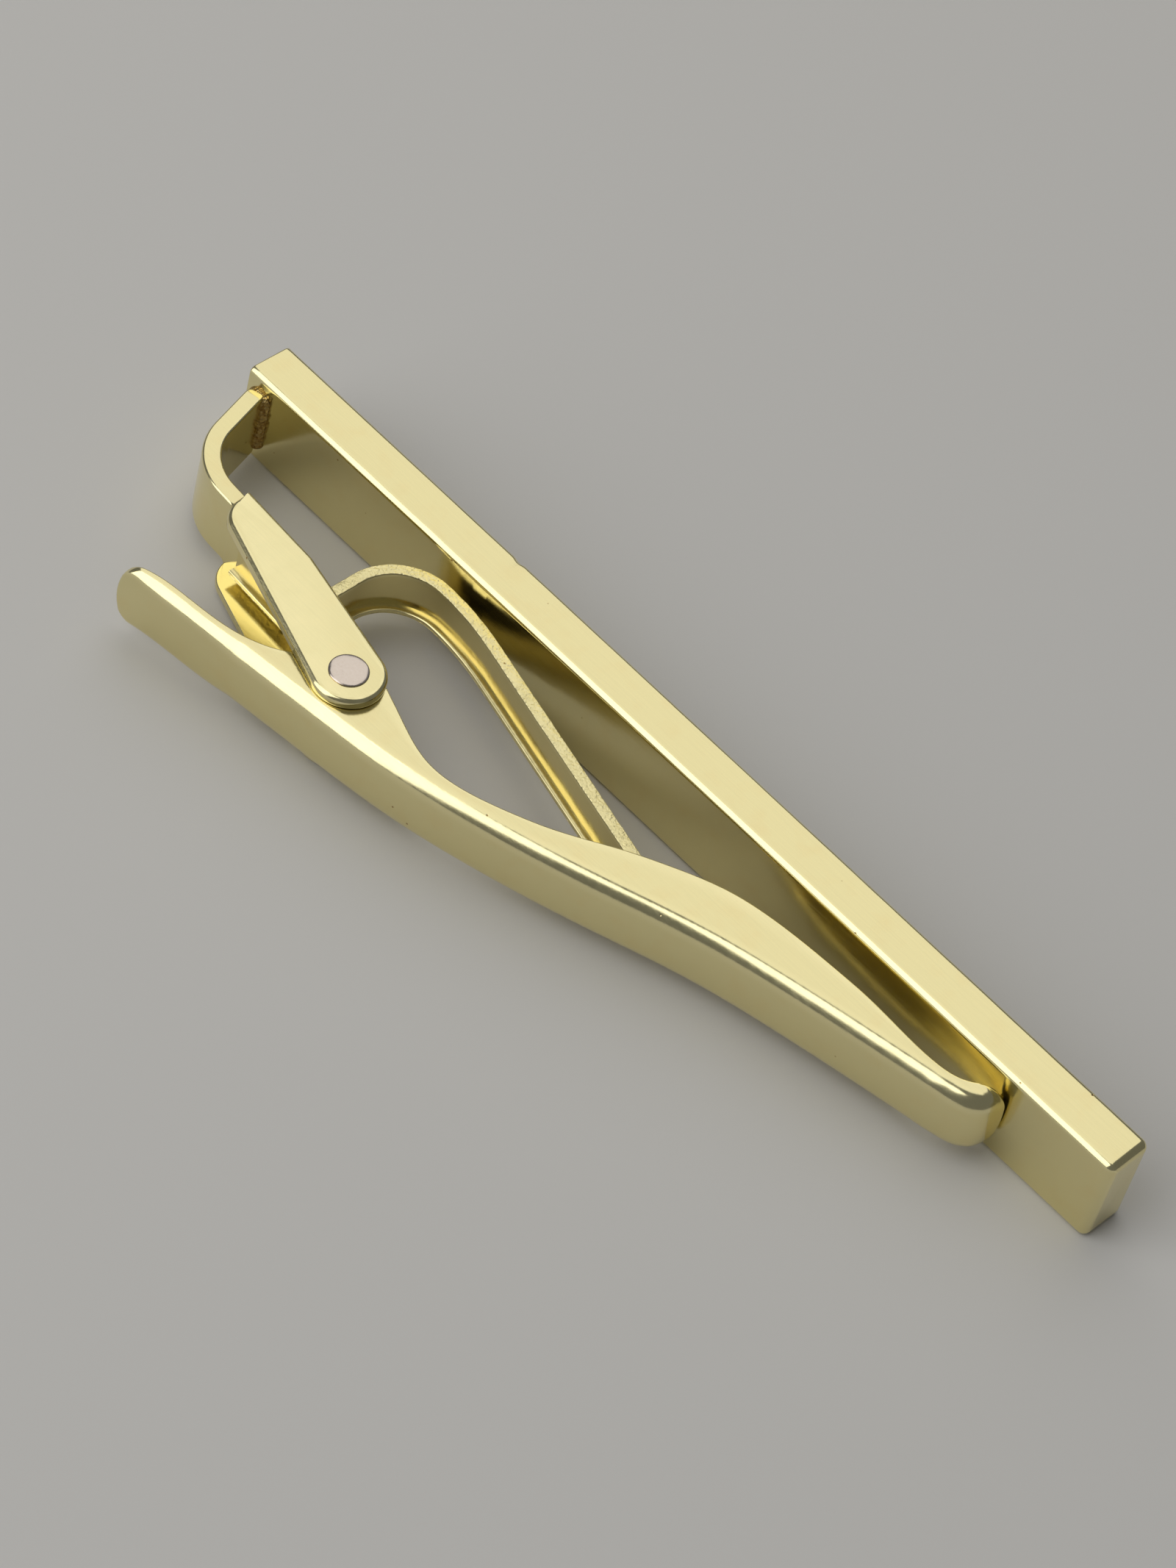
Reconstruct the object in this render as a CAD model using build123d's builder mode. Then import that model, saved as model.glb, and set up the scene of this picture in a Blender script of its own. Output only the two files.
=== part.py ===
from build123d import *
import os
from math import cos, radians, sin, tan

os.makedirs("parts", exist_ok=True)

# Tie clip: a solid front bar, a bent bracket soldered on edge to the bar's back, and a
# pressed channel lever that turns on a rivet between the bracket's two ears.
# +X runs along the bar from the bracket's end to the free end, +Y points out of the bar's
# show face, and +Z runs up the bar's width, along the rivet. The clip lies on its side.
# The origin is the middle of the bar's back face. Sizes are in millimetres.

# ---- front bar ----
bar_length = 58.0
bar_width = 5.4
bar_thickness = 2.6
bar_edge_radius = 0.35
bar_free_end_radius = 0.3
bar_cut_end_radius = 0.12
left = -bar_length / 2

# ---- bracket strip ----
strip_thickness = 0.95
strip_width = 3.9
strip_inset = 0.45
strip_lean = 17.0
strip_bend_radius = 3.4
solder_gap = 0.06
solder_toe = 0.35
solder_height = 0.5
web_distance = 4.8
web_slope = 3.5
web_end = 10.7

# ---- rivet and bracket ears ----
pivot_along = 16.9
pivot_depth = 8.7
rivet_radius = 0.6
rivet_head_radius = 0.97
rivet_head_height = 0.18
rivet_rim = 0.04
ear_thickness = 0.55
ear_start = 6.3
ear_boss_radius = 1.85
ear_corner_depth = 7.0
ear_corner_radius = 1.6
ear_fold_radius = 0.5
ear_spacing = bar_width - 2 * rivet_head_height

# ---- leaf spring ----
leaf_thickness = 0.45
leaf_sheet = 0.22
leaf_side_clearance = 0.1
leaf_start = 7.0
leaf_riser = 12.2
leaf_corner_radius = 1.0
arch_radius = 3.0
arch_gap = 0.47
crown_radius = 16.0
leaf_slope = 13.8
leaf_end = 35.2

# ---- lever ----
lever_sheet = 0.38
lever_side_clearance = 0.05
pivot_clearance = 0.05
lever_corner_radius = 0.5
lever_thumb_end = 5.5
lever_jaw_end = 52.1
lever_end_bulge = 0.55
lever_end_corner = lever_corner_radius + 0.2
jaw_gap = 0.12
jaw_shoulder = 1.35
jaw_shoulder_radius = 1.2
jaw_nose_length = 2.5
lever_trim = 0.2
floor_steps = 12

ear_inside = ear_spacing - 2 * ear_thickness
lever_width = ear_inside - 2 * lever_side_clearance
channel_width = lever_width - 2 * lever_sheet
leaf_width = channel_width - 2 * leaf_side_clearance
pivot = (left + pivot_along, -pivot_depth)


def web_line(along, depth=0.0):
    """The point a given way along the bar and a given depth square to the web's bar side."""
    drop = tan(radians(web_slope)) * (along - strip_inset)
    return (left + along, -web_distance - drop - depth / cos(radians(web_slope)))


# ---- front bar: solid, soft along its long edges and sharper at the cut left end ----
with BuildPart() as front_bar:
    with BuildSketch(Plane.YZ.offset(left)):
        with Locations((bar_thickness / 2, 0)):
            RectangleRounded(bar_thickness, bar_width, bar_edge_radius)
    extrude(amount=bar_length)
    fillet(front_bar.faces().sort_by(Axis.X)[-1].edges(), bar_free_end_radius)
    fillet(front_bar.faces().sort_by(Axis.X)[0].edges(), bar_cut_end_radius)
front_bar.part.label = "front_bar"
export_step(front_bar.part, "parts/front_bar.step")


# ---- bracket: one strip on edge that bends to run behind the bar and carries two ears ----
leg_foot = strip_thickness / 2 * sin(radians(strip_lean))
leg_start = (left + strip_inset + strip_thickness / 2, -solder_gap - leg_foot)
leg_corner = web_line(
    strip_inset + strip_thickness / 2 + tan(radians(strip_lean)) * web_distance,
    strip_thickness / 2,
)
with BuildPart() as bracket:
    with BuildSketch(Plane.XY.offset(-strip_width / 2)):
        with BuildLine():
            FilletPolyline(
                leg_start,
                leg_corner,
                web_line(web_end, strip_thickness / 2),
                radius=strip_bend_radius,
            )
        trace(line_width=strip_thickness)
    extrude(amount=strip_width)
    # the web is wider between the ears, where the strip's sides fold over into them
    with BuildSketch(Plane.XY.offset(-ear_spacing / 2)):
        with BuildLine():
            Polyline(
                web_line(ear_start),
                web_line(web_end),
                web_line(web_end, strip_thickness),
                web_line(ear_start, strip_thickness),
                close=True,
            )
        make_face()
    extrude(amount=ear_spacing)
    with BuildSketch(Plane.XY.offset(-ear_spacing / 2)) as ear_outline:
        with BuildLine():
            Line(web_line(ear_start), web_line(web_end))
            Line(web_line(ear_start), (left + ear_start, -ear_corner_depth))
            CenterArc(pivot, ear_boss_radius, 0, 360)
        make_hull()
        fillet(
            ear_outline.vertices().sort_by_distance((left + ear_start, -ear_corner_depth))[0],
            ear_corner_radius,
        )
        with Locations(pivot):
            Circle(rivet_radius, mode=Mode.SUBTRACT)
    extrude(amount=ear_thickness)
    mirror(about=Plane.XY)
    # the fold from the web into each ear is round
    fold_edges = bracket.edges().filter_by(GeomType.LINE).filter_by(
        lambda edge: edge.length > (web_end - ear_start) * 0.9
    )
    fold_middle = (web_line(ear_start)[0] + web_line(web_end)[0]) / 2
    for side in (-ear_spacing / 2, ear_spacing / 2):
        fillet(fold_edges.sort_by_distance((fold_middle, -web_distance, side))[0], ear_fold_radius)
bracket.part.label = "bracket"
export_step(bracket.part, "parts/bracket.step")


# ---- solder: the joint between the strip's cut end and the bar's back ----
with BuildPart() as solder_joint:
    with BuildSketch(Plane.XY.offset(-strip_width / 2)):
        with BuildLine():
            near = left + strip_inset
            far = near + strip_thickness
            Polyline(
                (near - solder_toe / 2, 0),
                (far + solder_toe, 0),
                (far + solder_toe / 3, -solder_height / 3),
                (far + tan(radians(strip_lean)) * solder_height, -solder_height),
                (near, -solder_height / 2),
                close=True,
            )
        make_face()
    extrude(amount=strip_width)
    add(bracket.part, mode=Mode.SUBTRACT)
solder_joint.part.label = "solder_joint"
export_step(solder_joint.part, "parts/solder_joint.step")


# ---- rivet: a plain shank with a low domed head peened over each ear ----
dome = rivet_head_height - rivet_rim
dome_radius = (rivet_head_radius**2 + dome**2) / (2 * dome)
with BuildPart() as rivet:
    with BuildSketch(Plane((*pivot, 0), x_dir=(1, 0, 0), z_dir=(0, -1, 0))):
        with BuildLine():
            head = ear_spacing / 2
            Polyline(
                (0, 0),
                (rivet_radius, 0),
                (rivet_radius, head),
                (rivet_head_radius, head),
                (rivet_head_radius, head + rivet_rim),
            )
            RadiusArc(
                (rivet_head_radius, head + rivet_rim),
                (0, head + rivet_head_height),
                -dome_radius,
            )
            Line((0, head + rivet_head_height), (0, 0))
        make_face()
        mirror(about=Plane.XZ)
    revolve(axis=Axis((*pivot, 0), (0, 0, 1)))
rivet.part.label = "rivet"
export_step(rivet.part, "parts/rivet.step")


# ---- leaf spring: a thin channel strip that starts behind the web, rises past its end,
# arches beside the bar and runs straight down into the lever's channel ----
leaf_seat = strip_thickness + leaf_thickness / 2
arch_foot = -(arch_gap + leaf_thickness / 2 + arch_radius)
leaf_run = (leaf_end - leaf_riser - arch_radius - crown_radius * sin(radians(leaf_slope))) / cos(
    radians(leaf_slope)
)
with BuildPart() as leaf_spring:
    with BuildSketch(Plane.XY.offset(-leaf_width / 2)):
        with BuildLine() as leaf_path:
            riser = FilletPolyline(
                web_line(leaf_start, leaf_seat),
                web_line(leaf_riser, leaf_seat),
                (left + leaf_riser, arch_foot),
                radius=leaf_corner_radius,
            )
            arch = JernArc(riser @ 1, (0, 1), arch_radius, -90)
            crown = JernArc(arch @ 1, (1, 0), crown_radius, -leaf_slope)
            PolarLine(crown @ 1, leaf_run, -leaf_slope)
        trace(line_width=leaf_thickness)
    extrude(amount=leaf_width)
    # the lever side is hollowed, which leaves a low lip along each long edge
    hollow = leaf_thickness - leaf_sheet
    with BuildSketch(Plane.XY.offset(leaf_sheet - leaf_width / 2)):
        with BuildLine():
            offset(leaf_path.line, leaf_sheet / 2, side=Side.RIGHT, closed=False)
        trace(line_width=hollow)
    extrude(amount=leaf_width - 2 * leaf_sheet, mode=Mode.SUBTRACT)
leaf_spring.part.label = "leaf_spring"
export_step(leaf_spring.part, "parts/leaf_spring.step")


# ---- lever: one pressed channel, open towards the bar, with a thumb end, two ears on the
# rivet and a long jaw whose rounded nose closes on the bar ----
back_line = [
    (lever_thumb_end - lever_trim, -12.9),
    (14.6, -11.62),
    (22.4, -10.5),
    (28.4, -8.85),
    (33.0, -7.2),
    (36.4, -5.75),
    (39.5, -4.85),
    (45.3, -3.5),
    (49.7, -2.55),
    (51.5, -1.6),
    (lever_jaw_end + lever_trim, -jaw_gap),
]
flange_line = [
    (lever_thumb_end - lever_trim, -12.35),
    (7.2, -11.72),
    (11.7, -11.05),
    (14.05, -9.85),
    (15.3, -8.1),
    (pivot_along, -7.05),
    (18.6, -7.6),
    (23.2, -8.91),
    (28.1, -7.25),
    (32.7, -4.33),
    (37.0, -2.35),
    (43.5, -1.6),
    (49.6, -1.55),
    (lever_jaw_end - 0.7, -jaw_gap),
]
with BuildLine(mode=Mode.PRIVATE):
    back = Spline([(left + x, y) for x, y in back_line])


def inside_back(share):
    """The point on the sheet's inner face a given share of the way along the back."""
    return back @ share + (back % share).rotate(Axis.Z, 90) * lever_sheet


with BuildPart() as lever:
    with BuildSketch(Plane.XY.offset(-lever_width / 2)):
        with BuildLine():
            add(back)
            flange = Spline([(left + x, y) for x, y in flange_line])
            Line(back @ 0, flange @ 0)
            Line(back @ 1, flange @ 1)
        make_face()
    extrude(amount=lever_width)
    # seen square to the back, both ends bulge and have soft corners
    with BuildSketch(Plane.XZ):
        with BuildLine():
            side = lever_width / 2
            thumb = left + lever_thumb_end
            jaw = left + lever_jaw_end
            thumb_side = thumb + lever_end_bulge
            jaw_side = jaw - lever_end_bulge
            ThreePointArc((thumb_side, -side), (thumb, 0), (thumb_side, side))
            ThreePointArc((jaw_side, -side), (jaw, 0), (jaw_side, side))
            Line((thumb_side, -side), (jaw_side, -side))
            Line((thumb_side, side), (jaw_side, side))
        plan = make_face()
        fillet(plan.vertices(), lever_end_corner)
    extrude(amount=2 * pivot_depth, both=True, mode=Mode.INTERSECT)
    back_edges = lever.faces().sort_by_distance(back @ 0.5)[0].edges()
    fillet(
        back_edges.group_by(Axis.Z)[0] + back_edges.group_by(Axis.Z)[-1],
        lever_corner_radius,
    )
    # seen along the lever, the jaw's nose narrows to a rounded tongue above the flanges
    with BuildSketch(Plane.YZ.offset(left + lever_jaw_end - jaw_nose_length)):
        Rectangle(2 * jaw_shoulder, 2 * lever_width)
        with Locations((-jaw_shoulder, 0)):
            RectangleRounded(
                2 * jaw_shoulder,
                lever_width + lever_trim,
                jaw_shoulder_radius,
                mode=Mode.SUBTRACT,
            )
    extrude(amount=jaw_nose_length + lever_trim, mode=Mode.SUBTRACT)
    # the channel: everything above the sheet's inner face, between the flanges
    with BuildSketch(Plane.XY.offset(-channel_width / 2)):
        with BuildLine():
            floor = Spline([inside_back(step / floor_steps) for step in range(floor_steps + 1)])
            Polyline(
                floor @ 1,
                ((floor @ 1).X, jaw_shoulder),
                ((floor @ 0).X, jaw_shoulder),
                floor @ 0,
            )
        make_face()
        with Locations((left + (lever_thumb_end + lever_jaw_end) / 2 + lever_sheet, -pivot_depth)):
            Rectangle(lever_jaw_end - lever_thumb_end, 4 * pivot_depth, mode=Mode.INTERSECT)
    extrude(amount=channel_width, mode=Mode.SUBTRACT)
    with BuildSketch(Plane.XY.offset(-lever_width / 2)):
        with Locations(pivot):
            Circle(rivet_radius + pivot_clearance)
    extrude(amount=lever_width, mode=Mode.SUBTRACT)
lever.part.label = "lever"
export_step(lever.part, "parts/lever.step")
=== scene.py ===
import bmesh
import bpy
import math
from mathutils import Matrix, Vector, geometry, noise


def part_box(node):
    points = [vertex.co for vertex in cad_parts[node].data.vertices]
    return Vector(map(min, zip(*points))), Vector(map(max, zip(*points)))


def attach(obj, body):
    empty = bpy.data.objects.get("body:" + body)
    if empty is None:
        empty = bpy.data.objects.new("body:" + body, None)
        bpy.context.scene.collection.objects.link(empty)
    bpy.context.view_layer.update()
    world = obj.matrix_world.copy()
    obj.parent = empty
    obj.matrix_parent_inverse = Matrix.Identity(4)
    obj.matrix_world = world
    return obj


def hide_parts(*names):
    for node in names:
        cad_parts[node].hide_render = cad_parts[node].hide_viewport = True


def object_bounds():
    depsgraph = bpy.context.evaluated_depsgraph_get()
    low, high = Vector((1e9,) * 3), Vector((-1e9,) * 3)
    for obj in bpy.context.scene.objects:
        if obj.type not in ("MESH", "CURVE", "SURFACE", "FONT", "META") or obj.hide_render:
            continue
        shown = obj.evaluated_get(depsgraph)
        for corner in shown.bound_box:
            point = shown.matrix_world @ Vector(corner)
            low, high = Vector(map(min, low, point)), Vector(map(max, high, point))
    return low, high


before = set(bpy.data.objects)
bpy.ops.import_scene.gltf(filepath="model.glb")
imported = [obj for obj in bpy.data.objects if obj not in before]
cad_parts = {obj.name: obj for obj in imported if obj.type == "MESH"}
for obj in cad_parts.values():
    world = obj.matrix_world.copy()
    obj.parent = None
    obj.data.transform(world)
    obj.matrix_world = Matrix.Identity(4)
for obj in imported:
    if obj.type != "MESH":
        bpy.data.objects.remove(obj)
cad_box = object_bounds()


# ---- front bar ----
# The show piece of the clip: a solid brass bar, sawn to length, filed round along its edges,
# polished by hand and plated with pale gold. Its far end is well rounded, its bracket end is
# almost as it was cut.
MM = 0.001
bar_length = 58.0
bar_width = 5.4
bar_thickness = 2.6
bar_edge_radius = 0.35
bar_free_end_radius = 0.45
bar_cut_end_radius = 0.12
bar_ring_pitch = 0.6
bar_smallest_radius = 0.03
bar_first_ring = 0.5
bar_ring_margin = 1.4
bar_waviness = 0.01
bar_nick = (16.6, bar_thickness, bar_width / 2)
bar_nick_radius = 0.42
bar_nick_depth = 0.16
bar_nick_reach = 0.55
left = -bar_length / 2


def linear_colour(code):
    """An sRGB hex colour as the linear colour that shaders take."""
    shares = [int(code[place : place + 2], 16) / 255 for place in (1, 3, 5)]
    return [s / 12.92 if s <= 0.04045 else ((s + 0.055) / 1.055) ** 2.4 for s in shares] + [1]


def add_node(tree, kind, inputs=None, **settings):
    """Adds a shader node with its settings, and fills or links its inputs."""
    made = tree.nodes.new(kind)
    for name, value in settings.items():
        setattr(made, name, value)
    for name, value in (inputs or {}).items():
        if isinstance(value, bpy.types.NodeSocket):
            tree.links.new(value, made.inputs[name])
        else:
            made.inputs[name].default_value = value
    return made


def bump(tree, height, depth, under=None, **settings):
    """Relief of a given depth in millimetres from a height, laid over an earlier bump."""
    inputs = {"Height": height, "Strength": 1.0, "Distance": depth * MM}
    if under:
        inputs["Normal"] = under.outputs[0]
    return add_node(tree, "ShaderNodeBump", inputs, **settings)


def blend(tree, share, first, second):
    """The colour that lies a share of the way from the first to the second."""
    mixed = add_node(tree, "ShaderNodeMix", {0: share, 6: first, 7: second}, data_type="RGBA")
    return mixed.outputs[2]


def empty_material(name):
    """A new material and its empty node tree."""
    made = bpy.data.materials.new(name)
    made.use_nodes = True
    made.node_tree.nodes.clear()
    return made, made.node_tree


def metal(tree, colour, roughness, relief):
    """Bare metal of a colour, roughness and relief, joined to the material's output."""
    shader = add_node(
        tree,
        "ShaderNodeBsdfPrincipled",
        {"Base Color": colour, "Metallic": 1.0, "Roughness": roughness, "Normal": relief.outputs[0]},
    )
    add_node(tree, "ShaderNodeOutputMaterial", {"Surface": shader.outputs[0]})


def arc(centre, radius, start, end, steps):
    """Points along an arc, both ends included, from and to angles in degrees."""
    turns = [math.radians(start + (end - start) * step / steps) for step in range(steps + 1)]
    return [centre + radius * Vector((math.cos(turn), math.sin(turn))) for turn in turns]


def rounded_section(width, height, radii, steps=6):
    """A rectangle about the origin with its own radius at each corner, as (across, up, edge
    share) points: lower right, upper right, upper left and lower left."""
    points = []
    signs = [(1, -1), (1, 1), (-1, 1), (-1, -1)]
    for (across, up), radius, start in zip(signs, radii, (-90, 0, 90, 180)):
        centre = Vector((across * (width / 2 - radius), up * (height / 2 - radius)))
        for step in range(steps + 1):
            turn = math.radians(start + 90 * step / steps)
            spot = centre + radius * Vector((math.cos(turn), math.sin(turn)))
            points.append((spot.x, spot.y, math.sin(math.pi * step / steps)))
    return points


def quarter_turn(radius, steps=6):
    """How far along and how far in the rings of a rounded end lie, from the end inwards."""
    turns = [math.pi / 2 * step / steps for step in range(steps + 1)]
    return [(radius * (1 - math.cos(turn)), radius * (1 - math.sin(turn))) for turn in turns]


def skin(name, rings):
    """One closed skin over rings of (point, edge share), a metre to the millimetre."""
    made = bmesh.new()
    edge = made.verts.layers.float.new("edge")
    rows = []
    for ring in rings:
        row = []
        for point, share in ring:
            vert = made.verts.new(point)
            vert[edge] = share
            row.append(vert)
        rows.append(row)
    count = len(rows[0])
    for row, following in zip(rows, rows[1:]):
        for i in range(count):
            j = (i + 1) % count
            made.faces.new((row[i], row[j], following[j], following[i]))
    made.faces.new(list(reversed(rows[0])))
    made.faces.new(rows[-1])
    bmesh.ops.recalc_face_normals(made, faces=made.faces)
    if made.calc_volume(signed=True) < 0:
        bmesh.ops.reverse_faces(made, faces=made.faces)
    mesh = bpy.data.meshes.new(name)
    made.to_mesh(mesh)
    made.free()
    piece = bpy.data.objects.new(name, mesh)
    bpy.context.scene.collection.objects.link(piece)
    return piece


def join(piece, other, operation):
    """Adds another skin to a piece, or cuts it away, removes it, and closes the hairline slits
    that the cut leaves."""
    step = piece.modifiers.new("join", "BOOLEAN")
    step.operation = operation
    step.solver = "EXACT"
    step.object = other
    bpy.context.view_layer.update()
    shaped = piece.evaluated_get(bpy.context.evaluated_depsgraph_get())
    piece.data = bpy.data.meshes.new_from_object(shaped)
    piece.modifiers.clear()
    bpy.data.objects.remove(other)
    closed = bmesh.new()
    closed.from_mesh(piece.data)
    bmesh.ops.remove_doubles(closed, verts=closed.verts, dist=0.001)
    bmesh.ops.dissolve_degenerate(closed, edges=closed.edges, dist=0.0005)
    slits = [edge for edge in closed.edges if edge.is_boundary]
    if slits:
        bmesh.ops.holes_fill(closed, edges=slits, sides=0)
    closed.to_mesh(piece.data)
    closed.free()


def polish(piece, sharp_angle=42):
    """Brings a finished skin to its real size, and shades it smooth with its flats kept flat
    beside their rounded edges."""
    piece.data.transform(Matrix.Scale(MM, 4))
    for face in piece.data.polygons:
        face.use_smooth = True
    piece.data.set_sharp_from_angle(angle=math.radians(sharp_angle))
    weighted = piece.modifiers.new("flat faces", "WEIGHTED_NORMAL")
    weighted.keep_sharp = True


def gold_plate(name, colour, sheared_edges=False):
    """Pale gold plate over polished brass: glossy, with a faint hand-polished waviness, fine
    polishing lines along the clip, a few tiny casting pits, and rounded edges painted paler, partly as
    rubbed wear and partly as a painted highlight."""
    made, tree = empty_material(name)
    place = add_node(tree, "ShaderNodeTexCoord")
    in_mm = add_node(
        tree, "ShaderNodeVectorMath", {0: place.outputs["Object"], "Scale": 1 / MM}, operation="SCALE"
    )
    # broad waves about 3 mm long, left by the polishing wheel
    waves = add_node(
        tree, "ShaderNodeTexNoise", {"Vector": in_mm.outputs[0], "Scale": 0.33, "Detail": 1.0}
    )
    relief = bump(tree, waves.outputs[0], 0.03)
    # polishing lines about 0.08 mm apart and a few millimetres long, drawn wider than real ones
    along = add_node(
        tree, "ShaderNodeVectorMath", {0: in_mm.outputs[0], 1: (0.35, 12.0, 12.0)}, operation="MULTIPLY"
    )
    lines = add_node(
        tree, "ShaderNodeTexNoise", {"Vector": along.outputs[0], "Scale": 1.0, "Detail": 3.0}
    )
    relief = bump(tree, lines.outputs[0], 0.0012, relief)
    # pits 0.1 mm across, in about one cell of 0.8 mm out of six
    cells = add_node(
        tree, "ShaderNodeTexVoronoi", {"Vector": in_mm.outputs[0], "Scale": 1.25, "Randomness": 1.0}
    )
    pit_shape = add_node(
        tree,
        "ShaderNodeMapRange",
        {0: cells.outputs["Distance"], 1: 0.03, 2: 0.09, 3: 1.0, 4: 0.0},
        interpolation_type="SMOOTHSTEP",
    )
    cell_share = add_node(tree, "ShaderNodeSeparateColor", {0: cells.outputs["Color"]})
    chosen = add_node(
        tree, "ShaderNodeMath", {0: cell_share.outputs[0], 1: 0.84}, operation="GREATER_THAN"
    )
    pits = add_node(
        tree, "ShaderNodeMath", {0: pit_shape.outputs[0], 1: chosen.outputs[0]}, operation="MULTIPLY"
    )
    relief = bump(tree, pits.outputs[0], 0.012, relief, invert=True)
    # rounded edges are painted paler, partly as rubbed wear and partly as a painted highlight; pits and
    # broad stains deeper in colour
    edge = add_node(tree, "ShaderNodeAttribute", attribute_name="edge")
    stains = add_node(
        tree, "ShaderNodeTexNoise", {"Vector": in_mm.outputs[0], "Scale": 0.8, "Detail": 4.0}
    )
    edge_wear_and_highlight = add_node(
        tree, "ShaderNodeMath", {0: edge.outputs["Fac"], 1: stains.outputs[0]}, operation="MULTIPLY"
    )
    stain_share = add_node(
        tree, "ShaderNodeMapRange", {0: stains.outputs[0], 1: 0.5, 2: 0.8, 3: 0.0, 4: 0.3}
    )
    stained = blend(tree, stain_share.outputs[0], linear_colour(colour), linear_colour("#E8D196"))
    # paler rounded edges: partly rubbed wear, partly a painted highlight
    rubbed_and_highlit = blend(tree, edge_wear_and_highlight.outputs[0], stained, linear_colour("#FAF0BC"))
    pitted = blend(tree, pits.outputs[0], rubbed_and_highlit, linear_colour("#9A7436"))
    gloss = add_node(
        tree, "ShaderNodeMapRange", {0: lines.outputs[0], 1: 0.3, 2: 0.7, 3: 0.13, 4: 0.21}
    )
    roughness = gloss.outputs[0]
    if sheared_edges:
        # the cut edges, furthest from the middle, are torn into grains about 0.15 mm across
        height = add_node(tree, "ShaderNodeSeparateXYZ", {0: in_mm.outputs[0]})
        from_middle = add_node(tree, "ShaderNodeMath", {0: height.outputs[2]}, operation="ABSOLUTE")
        torn = add_node(
            tree, "ShaderNodeMapRange", {0: from_middle.outputs[0], 1: 1.36, 2: 1.4, 3: 0.0, 4: 1.0}
        )
        grains = add_node(
            tree, "ShaderNodeTexNoise", {"Vector": in_mm.outputs[0], "Scale": 6.5, "Detail": 3.0}
        )
        grain_height = add_node(
            tree, "ShaderNodeMath", {0: grains.outputs[0], 1: torn.outputs[0]}, operation="MULTIPLY"
        )
        relief = bump(tree, grain_height.outputs[0], 0.07, relief)
        rough_edge = add_node(
            tree,
            "ShaderNodeMath",
            {0: torn.outputs[0], 1: 0.14, 2: gloss.outputs[0]},
            operation="MULTIPLY_ADD",
        )
        roughness = rough_edge.outputs[0]
    metal(tree, pitted, roughness, relief)
    return made


def bar_ring(x, inset):
    """The bar's section at x, drawn in by inset, a little wavy from hand filing."""
    radius = max(bar_edge_radius - inset, bar_smallest_radius)
    shape = rounded_section(bar_thickness - 2 * inset, bar_width - 2 * inset, [radius] * 4)
    middle = Vector((0, bar_thickness / 2, 0))
    nick = Vector((left + bar_nick[0], bar_nick[1], bar_nick[2]))
    ring = []
    for across, up, share in shape:
        spot = Vector((x, bar_thickness / 2 + across, up))
        inwards = (middle - Vector((0, spot.y, spot.z))).normalized()
        depth = bar_waviness * (0.5 + 0.5 * noise.noise(spot * 0.6))
        closeness = max(0.0, 1 - (spot - nick).length / bar_nick_radius)
        depth += bar_nick_depth * closeness**1.5
        ring.append((spot + inwards * depth, share))
    return ring


bar_rings = [bar_ring(left + along, inset) for along, inset in quarter_turn(bar_cut_end_radius, 4)]
ring_count = int((bar_length - bar_ring_margin) / bar_ring_pitch)
nick_places = [left + bar_nick[0] + 0.1 * step for step in range(-5, 6)]
places = [left + bar_first_ring + bar_ring_pitch * step for step in range(ring_count)]
places = [x for x in places if abs(x - left - bar_nick[0]) > bar_nick_reach]
for x in sorted(places + nick_places):
    bar_rings.append(bar_ring(x, 0))
for along, inset in reversed(quarter_turn(bar_free_end_radius, 8)):
    bar_rings.append(bar_ring(-left - along, inset))
front_bar = skin("polished_front_bar", bar_rings)
polish(front_bar)
polished_gold = gold_plate("polished gold plate on brass", "#EADFAA")
front_bar.data.materials.append(polished_gold)
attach(front_bar, "clip_body")
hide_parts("front_bar")


# ---- bracket ----
# A brass strip, sawn off and stood on edge on the bar's back, bent round to run behind the
# bar. There its sides are folded up into two ears that carry the rivet. Plated with the bar.
strip_thickness = 0.95
strip_width = 3.9
strip_inset = 0.45
strip_lean = 17.0
strip_bend_radius = 3.4
strip_edge_radius = 0.14
strip_foot = -0.2
web_distance = 4.8
web_slope = 3.5
web_end = 10.7
ear_start = 5.95
ear_spacing = 5.04
ear_thickness = 0.55
ear_rounding = 0.27
ear_inner_rounding = 0.07
ear_fold_lead = 0.15
ear_fold_length = 0.35
ear_fold_radius = 0.03
strip_end_insets = (0.09, 0.03)
ear_boss_radius = 1.85
ear_corner_radius = 1.6
ear_corner = (7.55, -5.85)
pivot = Vector((left + 16.9, -8.7))


def web_line(along, depth=0.0):
    """The point a given way along the bar and a given depth behind the web's bar side."""
    drop = math.tan(math.radians(web_slope)) * (along - strip_inset)
    return Vector((left + along, -web_distance - drop - depth / math.cos(math.radians(web_slope))))


def rounded_path(corners, radius, pitch=0.15):
    """Evenly spaced points along straight runs whose inner corners are rounded."""
    runs = [Vector(corners[0])]
    for before, corner, after in zip(corners, corners[1:], corners[2:]):
        back, ahead = (before - corner).normalized(), (after - corner).normalized()
        half = back.angle(ahead) / 2
        reach = radius / math.tan(half)
        centre = corner + (back + ahead).normalized() * (radius / math.sin(half))
        start = corner + back * reach - centre
        end = corner + ahead * reach - centre
        turn = start.angle_signed(end)
        for step in range(25):
            runs.append(centre + Matrix.Rotation(-turn * step / 24, 2) @ start)
    runs.append(Vector(corners[-1]))
    return spread(runs, pitch)


def spread(points, pitch):
    """The same line with its points a given pitch apart."""
    total = sum((b - a).length for a, b in zip(points, points[1:]))
    count = max(2, round(total / pitch))
    placed = [points[0].copy()]
    travelled = 0.0
    index = 0
    for step in range(1, count):
        goal = total * step / count
        while travelled + (points[index + 1] - points[index]).length < goal:
            travelled += (points[index + 1] - points[index]).length
            index += 1
        run = points[index + 1] - points[index]
        placed.append(points[index] + run * ((goal - travelled) / run.length))
    placed.append(points[-1].copy())
    return placed


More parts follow.
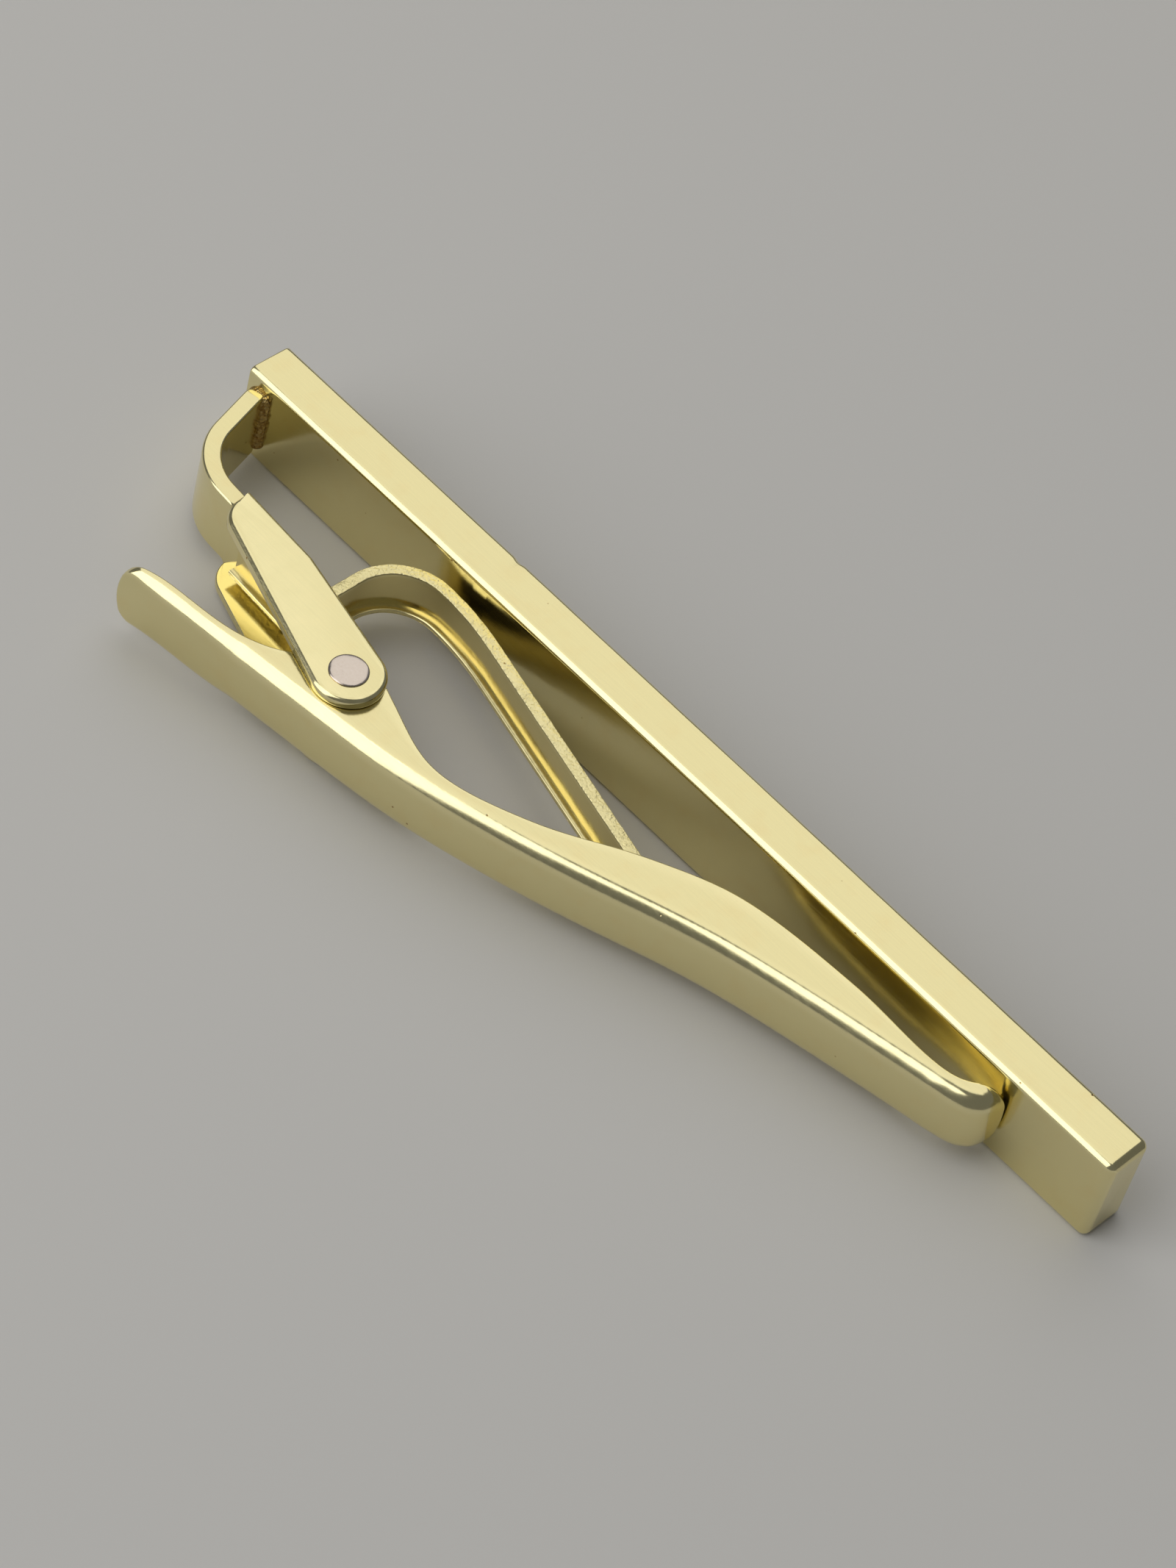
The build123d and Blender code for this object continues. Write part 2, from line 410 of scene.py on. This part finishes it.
def beside(path, index):
    """The direction square to a path, on its left, at one of its points."""
    before, after = path[max(index - 1, 0)], path[min(index + 1, len(path) - 1)]
    ahead = (after - before).normalized()
    return Vector((-ahead.y, ahead.x))


def swept(path, section_at):
    """Rings of a section carried along a path in the clip's side plane."""
    rings = []
    for index, spot in enumerate(path):
        square = beside(path, index)
        ring = []
        for across, up, share in section_at(index, spot):
            place = spot + square * across
            ring.append(((place.x, place.y, up), share))
        rings.append(ring)
    return rings


leg_lean = math.tan(math.radians(strip_lean)) * web_distance
leg_start = Vector((left + strip_inset + strip_thickness / 2, strip_foot))
leg_corner = web_line(strip_inset + strip_thickness / 2 + leg_lean, strip_thickness / 2)
leg_path = rounded_path(
    [leg_start, leg_corner, web_line(web_end, strip_thickness / 2)], strip_bend_radius
)


def strip_section(index, spot):
    """The strip's section, wider where its sides fold into the ears."""
    from_ears = (spot.x - left - ear_start + ear_fold_lead) / ear_fold_length
    flare = min(max(from_ears, 0.0), 1.0)
    flare = flare * flare * (3 - 2 * flare) if spot.y < -web_distance else 0.0
    width = strip_width + (ear_spacing - 2 * ear_rounding - strip_width) * flare
    steps_from_end = min(index, len(leg_path) - 1 - index)
    inset = strip_end_insets[steps_from_end] if steps_from_end < len(strip_end_insets) else 0.0
    radius = strip_edge_radius + (ear_fold_radius - strip_edge_radius) * flare
    return rounded_section(strip_thickness - 2 * inset, width - 2 * inset, [radius] * 4)


bracket = skin("bracket_strip_with_ears", swept(leg_path, strip_section))
boss = arc(pivot, ear_boss_radius, 0, 360, 90)[:-1]
heel_centre = Vector((left + ear_corner[0], ear_corner[1]))
heel = arc(heel_centre, ear_corner_radius, 185, 290, 21)
ear_points = heel + boss + [web_line(ear_start, 0.0), web_line(web_end, 0.0)]
ear_outline = [ear_points[index] for index in geometry.convex_hull_2d(ear_points)]
for side in (1, -1):
    outer = side * ear_spacing / 2
    inner = side * (ear_spacing / 2 - ear_thickness)
    levels = [(inner + side * along, inset) for along, inset in quarter_turn(ear_inner_rounding, 3)]
    levels += [(outer - side * along, inset) for along, inset in reversed(quarter_turn(ear_rounding, 6))]
    rings = []
    for level, inset in levels:
        ring = []
        for index, spot in enumerate(ear_outline):
            run = ear_outline[(index + 1) % len(ear_outline)] - ear_outline[index - 1]
            inwards = Vector((-run.y, run.x)).normalized()
            place = spot + inwards * inset
            ring.append(((place.x, place.y, level), 1.0 if inset > 0 else 0.3))
        rings.append(ring)
    join(bracket, skin("ear", rings), "UNION")
polish(bracket, 38)
bracket.data.materials.append(polished_gold)
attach(bracket, "clip_body")
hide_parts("bracket")


# ---- solder joint ----
# Hard solder run in round the foot of the strip. It was left as it froze, in small grains and
# lumps, and the plating went over it.
solder_low, solder_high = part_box("solder_joint")
solder_low, solder_high = solder_low / MM, solder_high / MM
solder_rounds = 30
solder_along = 48
solder_margin = 0.12
solder_end_steps = 12
solder_end_taper = 0.45


def solder_section(share):
    """The bead's section, a low mound from toe to toe that is higher where the strip stands."""
    half_length = (solder_high.x - solder_low.x) / 2
    middle = (solder_high.x + solder_low.x) / 2
    ring = []
    for step in range(solder_rounds):
        turn = 2 * math.pi * step / solder_rounds
        x = middle + half_length * 0.94 * math.cos(turn)
        height = (solder_high.y - solder_low.y) * 0.92 * max(math.sin(turn), 0.0)
        z = solder_low.z + solder_margin + (solder_high.z - solder_low.z - 2 * solder_margin) * share
        from_end = min(min(share, 1 - share) * solder_end_steps, 1.0)
        taper = solder_end_taper + (1 - solder_end_taper) * math.sin(from_end * math.pi / 2)
        spot = Vector((middle + (x - middle) * taper, solder_high.y - 0.01 - height * taper, z))
        lump = noise.fractal(spot * 3.2, 0.7, 2.1, 4)
        if math.sin(turn) > 0.05:
            spot += Vector((0.05 * lump, -0.09 * lump, 0.03 * lump))
        spot.x = min(max(spot.x, solder_low.x), solder_high.x)
        spot.y = min(max(spot.y, solder_low.y), solder_high.y)
        ring.append((spot, 0.5))
    return ring


solder = skin("solder_bead", [solder_section(step / solder_along) for step in range(solder_along + 1)])
polish(solder, 80)
solder_metal, tree = empty_material("plated hard solder, as frozen")
place = add_node(tree, "ShaderNodeTexCoord")
# grains 0.12 mm across that catch the light singly
grains = add_node(
    tree, "ShaderNodeTexVoronoi", {"Vector": place.outputs["Object"], "Scale": 8.0 / MM}
)
grain_tone = add_node(tree, "ShaderNodeSeparateColor", {0: grains.outputs["Color"]})
grain_gloss = add_node(
    tree, "ShaderNodeMapRange", {0: grain_tone.outputs[1], 1: 0.0, 2: 1.0, 3: 0.26, 4: 0.5}
)
grain_colour = blend(tree, grain_tone.outputs[0], linear_colour("#A07C40"), linear_colour("#D6BC80"))
metal(tree, grain_colour, grain_gloss.outputs[0], bump(tree, grains.outputs["Distance"], 0.05))
solder.data.materials.append(solder_metal)
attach(solder, "clip_body")
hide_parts("solder_joint")


# ---- rivet ----
# The lever's axle, a turned steel pin. Each end was peened over its ear into a low dome, not
# plated, so it is whiter than the clip and carries a small mark of the peening tool.
rivet_radius = 0.6
rivet_head_radius = 0.97
rivet_head_height = 0.18
rivet_rim = 0.04
rivet_steps = 64
dome_rings = 12
peen_mark = Vector((-0.1, -0.5))
peen_mark_radius = 0.28
peen_mark_depth = 0.05

rivet_head = ear_spacing / 2
half_profile = [(0.02, rivet_head + rivet_head_height)]
for step in range(1, dome_rings + 1):
    share = step / dome_rings
    reach = rivet_head_radius * math.sin(share * math.pi / 2)
    fall = (rivet_head_height - rivet_rim) * (1 - math.cos(share * math.pi / 2)) ** 0.85
    half_profile.append((reach, rivet_head + rivet_head_height - fall))
half_profile += [
    (rivet_head_radius - 0.01, rivet_head + 0.012),
    (rivet_head_radius - 0.05, rivet_head),
    (rivet_radius, rivet_head),
    (rivet_radius, rivet_head - ear_thickness),
]
profile = half_profile + [(radius, -height) for radius, height in reversed(half_profile)]
rivet_rings = []
for radius, height in profile:
    ring = []
    for flat in arc(pivot, radius, 0, 360, rivet_steps)[:-1]:
        spot = Vector((flat.x, flat.y, height))
        if abs(height) > rivet_head + rivet_rim:
            dent = max(0.0, 1 - (flat - pivot - peen_mark).length / peen_mark_radius)
            uneven = 0.004 * noise.noise(spot * 3)
            spot.z -= math.copysign(peen_mark_depth * dent * dent + uneven, height)
        limit = rivet_head + rivet_head_height
        spot.z = min(max(spot.z, -limit), limit)
        ring.append((spot, 1.0 if abs(height) > rivet_head else 0.0))
    rivet_rings.append(ring)
rivet = skin("peened_rivet", rivet_rings)
polish(rivet, 50)
rivet_steel, tree = empty_material("polished steel, peened")
place = add_node(tree, "ShaderNodeTexCoord")
# hammer facets about 0.4 mm across, too shallow to see except in the shine
facets = add_node(
    tree,
    "ShaderNodeTexVoronoi",
    {"Vector": place.outputs["Object"], "Scale": 2.4 / MM},
    feature="SMOOTH_F1",
)
scuffs = add_node(
    tree, "ShaderNodeTexNoise", {"Vector": place.outputs["Object"], "Scale": 9 / MM, "Detail": 4.0}
)
scuff_gloss = add_node(
    tree, "ShaderNodeMapRange", {0: scuffs.outputs[0], 1: 0.3, 2: 0.7, 3: 0.14, 4: 0.26}
)
warmth = blend(tree, scuffs.outputs[0], linear_colour("#CDBFB2"), linear_colour("#E2D6CC"))
metal(tree, warmth, scuff_gloss.outputs[0], bump(tree, facets.outputs["Distance"], 0.012))
rivet.data.materials.append(rivet_steel)
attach(rivet, "clip_body")
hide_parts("rivet")


# ---- leaf spring ----
# A strip of hard brass pressed into a shallow channel, then bent: it starts between the ears,
# rises past the web, arches beside the bar and runs down into the lever. Its long edges were
# sheared and not dressed, so they are torn and grainy under the plate.
leaf_width = 2.88
leaf_thickness = 0.45
leaf_sheet = 0.22
leaf_rounding = 0.05
leaf_lip = 0.17
leaf_start = 7.0
leaf_riser = 12.2
leaf_corner_radius = 1.0
arch_radius = 3.0
arch_gap = 0.47
crown_radius = 16.0
leaf_slope = 13.8
leaf_end = 35.2

leaf_seat = strip_thickness + leaf_thickness / 2
arch_foot = -(arch_gap + leaf_thickness / 2 + arch_radius)
riser_foot = web_line(leaf_riser, leaf_seat)
riser_top = Vector((left + leaf_riser, arch_foot))
leaf_runs = rounded_path([web_line(leaf_start, leaf_seat), riser_foot, riser_top], leaf_corner_radius)
arch_centre = riser_top + Vector((arch_radius, 0))
leaf_runs += arc(arch_centre, arch_radius, 180, 90, 30)[1:]
crown_centre = arch_centre + Vector((0, arch_radius - crown_radius))
leaf_runs += arc(crown_centre, crown_radius, 90, 90 - leaf_slope, 20)[1:]
fall = math.radians(leaf_slope)
leg_length = (left + leaf_end - leaf_runs[-1].x) / math.cos(fall)
leaf_runs.append(leaf_runs[-1] + leg_length * Vector((math.cos(fall), -math.sin(fall))))
leaf_path = spread(leaf_runs, 0.2)


def leaf_section(index, spot):
    """The leaf's shallow channel section, open away from the bar, its edges a little torn."""
    q = leaf_rounding
    half = leaf_width / 2
    outer = leaf_thickness / 2
    tip = -outer - leaf_lip
    floor = outer - leaf_sheet
    lip = half - leaf_sheet - 0.02
    tear = 0.03 * (0.5 + noise.noise(Vector((spot.x * 2.2, spot.y * 2.2, 7.0))))
    inside = [(tip, lip, 0.6), (tip + 0.04, lip - 0.03, 0.3), (floor, lip - 0.06, 0.0)]
    points = []
    for up, side in ((half - tear, 1), (-half, -1)):
        for across, facing in ((outer - q, 1), (tip + q, -1))[::side]:
            for step in range(5):
                turn = math.radians(90 * step / 4)
                a, u = math.cos(turn), math.sin(turn)
                if facing != side:
                    a, u = u, a
                points.append((across + q * a * facing, up - side * q + side * q * u, 1.0))
        if side > 0:
            points += inside + [(floor, 0.0, 0.0)]
            points += [(across, -out, share) for across, out, share in reversed(inside)]
    points.append((outer, 0.0, 0.0))
    return points


leaf = skin("leaf_spring_strip", swept(leaf_path, leaf_section))
polish(leaf, 50)
sheared_gold = gold_plate("gold plate on sheared spring brass", "#E8DA9E", sheared_edges=True)
leaf.data.materials.append(sheared_gold)
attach(leaf, "clip_body")
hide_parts("leaf_spring")


# ---- lever ----
# Pressed from one piece of sheet brass into a channel that opens towards the bar. The rolled
# corners are polished, and painted paler, partly as rubbed wear and partly as a painted highlight. Low
# flanges at the thumb end rise to two ears on the rivet, fall away along the jaw, and close round its
# nose, which meets the bar.
lever_width = 3.84
lever_sheet = 0.38
lever_corner_radius = 0.95
lever_lip_radius = 0.11
lever_inner_radius = 0.12
lever_crown = 0.04
lever_pitch = 0.22
lever_end_rounding = 0.15
lever_end_pitch = 0.11
lever_lowest_flange = 0.5
lever_thumb_end = 5.5
lever_jaw_end = 52.1
jaw_gap = 0.12
nose_length = 1.6
thumb_corner = 0.8
jaw_corner = 0.8
thumb_bulge = 0.45
thumb_bulge_length = 3.0
jaw_bulge = 0.12
jaw_bulge_length = 2.0
rivet_clearance = 0.05
back_points = [
    (lever_thumb_end, -12.74), (14.6, -11.6), (22.4, -10.5), (28.4, -8.85), (33.0, -7.2),
    (36.4, -5.85), (39.5, -4.88), (45.3, -3.5), (49.6, -2.58), (51.1, -2.2),
    (51.85, -1.65), (52.08, -0.95), (lever_jaw_end, -jaw_gap),
]
flange_points = [
    (lever_thumb_end - 0.4, -12.4), (7.2, -11.72), (11.7, -11.05), (14.05, -9.85), (15.3, -8.1),
    (16.9, -7.05), (18.6, -7.6), (23.2, -8.91), (28.1, -7.25), (32.7, -4.33), (37.0, -2.35),
    (43.5, -1.6), (49.6, -1.55), (51.4, -jaw_gap), (51.7, 0.6),
]


def eased(values, fixed=1):
    """Values evened out with their neighbours, except the first and the last fixed ones."""
    middle = [(a + b * 2 + c) / 4 for a, b, c in zip(values, values[1:-fixed], values[2:])]
    return values[:1] + middle + values[-fixed:]


def smooth_line(points, pitch, rounds, nose_rounds=0, nose_stretch=0.0):
    """A smooth line through points, evenly spaced, then eased in rounds so that its bend changes
    gently. The last stretch, where the jaw's nose turns sharply, is eased only in some of them."""
    points = [Vector((left + x, y)) for x, y in points]
    knots = [0.0]
    for a, b in zip(points, points[1:]):
        knots.append(knots[-1] + (b - a).length)
    slopes = []
    for i in range(len(points)):
        low, high = max(i - 1, 0), min(i + 1, len(points) - 1)
        slopes.append((points[high] - points[low]) / (knots[high] - knots[low]))
    line = []
    for i in range(len(points) - 1):
        span = knots[i + 1] - knots[i]
        for step in range(20):
            t = step / 20
            line.append(
                points[i] * (2 * t**3 - 3 * t**2 + 1)
                + slopes[i] * span * (t**3 - 2 * t**2 + t)
                + points[i + 1] * (3 * t**2 - 2 * t**3)
                + slopes[i + 1] * span * (t**3 - t**2)
            )
    line = spread(line + [points[-1]], pitch)
    kept = round(nose_stretch / pitch)
    for done in range(rounds):
        line = eased(line) if done < nose_rounds else eased(line, 1 + kept)
    return line


back_line = smooth_line(back_points, lever_pitch, rounds=90, nose_rounds=8, nose_stretch=4.5)
flange_line = smooth_line(flange_points, pitch=0.2, rounds=6)
lever_length = sum((b - a).length for a, b in zip(back_line, back_line[1:]))


def flange_height(spot, inwards):
    """How far the flange stands out from the back, square to it, at one point of the back."""
    tallest = 0.0
    far = spot + inwards * 8
    for a, b in zip(flange_line, flange_line[1:]):
        crossing = geometry.intersect_line_line_2d(spot, far, a, b)
        if crossing:
            tallest = max(tallest, (crossing - spot).length)
    return tallest


def lever_half(height, half, shrink):
    """Half the channel's section as (depth, out, edge share): back, corner, flange, lip, inside."""
    sheet = lever_sheet - 2 * shrink
    height -= shrink
    half -= shrink
    q = min(lever_lip_radius, sheet * 0.45)
    corner = max(min(lever_corner_radius, height - q - 0.02), 0.05)
    inner = max(min(lever_inner_radius, height - q - sheet - shrink - 0.01), 0.015)
    turns = [math.radians(11.25 * step) for step in range(9)]
    points = []
    for share in (0.1, 0.4, 0.7):
        points.append((shrink + lever_crown * share**2, (half - corner) * share, 0.0))
    for turn in turns:
        # the corner's edge share, highest halfway round, sets where the gold is painted paler as a
        # painted highlight
        depth = shrink + corner - corner * math.cos(turn) + lever_crown * math.cos(turn)
        points.append((depth, half - corner + corner * math.sin(turn), math.sin(turn * 2)))
    for share in (0.33, 0.66):
        points.append((shrink + corner + (height - q - shrink - corner) * share, half, 0.0))
    for turn in turns[::2]:
        points.append((height - q + q * math.sin(turn), half - q + q * math.cos(turn), 1.0))
    for turn in turns[::2]:
        points.append((height - q + q * math.cos(turn), half - sheet + q - q * math.sin(turn), 1.0))
    floor = shrink + sheet
    for share in (0.33, 0.66):
        points.append((height - q + (floor + inner - height + q) * share, half - sheet, 0.0))
    for turn in turns[::2]:
        points.append(
            (floor + inner - inner * math.sin(turn), half - sheet - inner + inner * math.cos(turn), 0.0)
        )
    for share in (0.6, 0.1):
        points.append((floor, (half - sheet - inner) * share, 0.0))
    return points


def plan_half(from_thumb, from_jaw):
    """Half the lever's width, which its rounded plan takes in at both ends."""
    half = lever_width / 2
    for distance, radius in ((from_thumb, thumb_corner), (from_jaw, jaw_corner)):
        if distance < radius:
            half = min(half, lever_width / 2 - radius + math.sqrt(radius**2 - (radius - distance) ** 2))
    return half


back_inwards = [beside(back_line, index) for index in range(len(back_line))]
flange_heights = [flange_height(spot, inwards) for spot, inwards in zip(back_line, back_inwards)]
for _ in range(3):
    flange_heights = eased(flange_heights)


def station_at(distance):
    """The back's point, inward direction and flange height a distance along it. The sheet's
    end under the nose lies flat towards the bar."""
    share = min(max(distance / lever_length, 0.0), 1.0) * (len(back_line) - 1)
    low = min(int(share), len(back_line) - 2)
    rest = share - low
    spot = back_line[low].lerp(back_line[low + 1], rest)
    inwards = back_inwards[low].lerp(back_inwards[low + 1], rest)
    height = flange_heights[low] + (flange_heights[low + 1] - flange_heights[low]) * rest
    nearness = max(0.0, 1 - (lever_length - distance) / nose_length) ** 2
    inwards = inwards.lerp(Vector((-1, 0)), nearness).normalized()
    return spot, inwards, height


cuts = quarter_turn(lever_end_rounding, 5)
cuts += [(lever_end_rounding + lever_end_pitch * step, 0.0) for step in range(1, 14)]
inside = [(step * lever_pitch, 0.0) for step in range(8, int(lever_length / lever_pitch) - 8)]
far_cuts = [(lever_length - along, inset) for along, inset in reversed(cuts)]
lever_rings = []
for distance, shrink in cuts + inside + far_cuts:
    spot, inwards, height = station_at(distance)
    ahead = Vector((inwards.y, -inwards.x))
    from_jaw = lever_length - distance
    half = plan_half(distance, from_jaw)
    ring = []
    section = lever_half(max(height, lever_lowest_flange), half, shrink)
    for depth, out, share in section + [(d, -o, s) for d, o, s in reversed(section)]:
        bulge = (out / (lever_width / 2)) ** 2
        shift = thumb_bulge * bulge * max(0.0, 1 - distance / thumb_bulge_length) ** 2
        shift -= jaw_bulge * bulge * max(0.0, 1 - from_jaw / jaw_bulge_length) ** 2
        place = spot + inwards * depth + ahead * shift
        ring.append(((place.x, place.y, out), share))
    lever_rings.append(ring)
lever = skin("pressed_channel_lever", lever_rings)
hole = arc(pivot, rivet_radius + rivet_clearance, 0, 360, 48)[:-1]
hole_rings = [[((spot.x, spot.y, z), 0.0) for spot in hole] for z in (-lever_width, lever_width)]
join(lever, skin("drill", hole_rings), "DIFFERENCE")
polish(lever, 50)
lever.data.materials.append(polished_gold)
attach(lever, "lever_body")
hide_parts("lever")


# ---- studio ----
# A plain pale table top, a large soft box above and behind the clip, which the upward faces
# mirror, a second one above and in front that brightens the rolled edges, and a dim room.
floor_level = cad_box[0].z
bpy.ops.mesh.primitive_plane_add(size=4, location=(0, 0, floor_level))
table_top = bpy.context.object
table_top.name = "table_top"
table_paint = bpy.data.materials.new("matt pale grey board")
table_paint.use_nodes = True
board = table_paint.node_tree.nodes["Principled BSDF"]
board.inputs["Base Color"].default_value = linear_colour("#D6D4D0")
board.inputs["Roughness"].default_value = 0.9
table_top.data.materials.append(table_paint)

room = bpy.data.worlds.new("room")
room.use_nodes = True
room.node_tree.nodes["Background"].inputs["Color"].default_value = linear_colour("#D9DBDD")
room.node_tree.nodes["Background"].inputs["Strength"].default_value = 0.2
bpy.context.scene.world = room
bpy.context.scene.view_settings.view_transform = "Standard"


def soft_light(name, direction, distance, size, watts, colour):
    """A soft box that faces the clip's middle from a direction."""
    lamp = bpy.data.lights.new(name, "AREA")
    lamp.shape = "RECTANGLE"
    lamp.size, lamp.size_y = size
    lamp.energy = watts
    lamp.color = linear_colour(colour)[:3]
    holder = bpy.data.objects.new(name, lamp)
    bpy.context.scene.collection.objects.link(holder)
    holder.location = Vector(direction).normalized() * distance
    holder.rotation_euler = Vector(direction).to_track_quat("Z", "Y").to_euler()
    return holder


soft_light("soft_box", (-0.352, 0.4, 0.85), 0.4, (0.38, 0.56), 0.56, "#FFFDF8")
soft_light("front_box", (-0.352, -0.7, 0.62), 0.45, (0.4, 0.62), 1.15, "#FFFFFF")

camera = bpy.data.cameras.new("camera")
camera.sensor_width = 36
camera.sensor_fit = "VERTICAL"
camera.sensor_height = 36
camera.lens = 118.14
camera.clip_start = 0.01
camera_holder = bpy.data.objects.new("camera", camera)
bpy.context.scene.collection.objects.link(camera_holder)
camera_holder.location = Vector((83.981, -130.982, 181.084)) * MM
camera_holder.rotation_euler = [math.radians(angle) for angle in (39.341, -10.561, 46.333)]
bpy.context.scene.camera = camera_holder
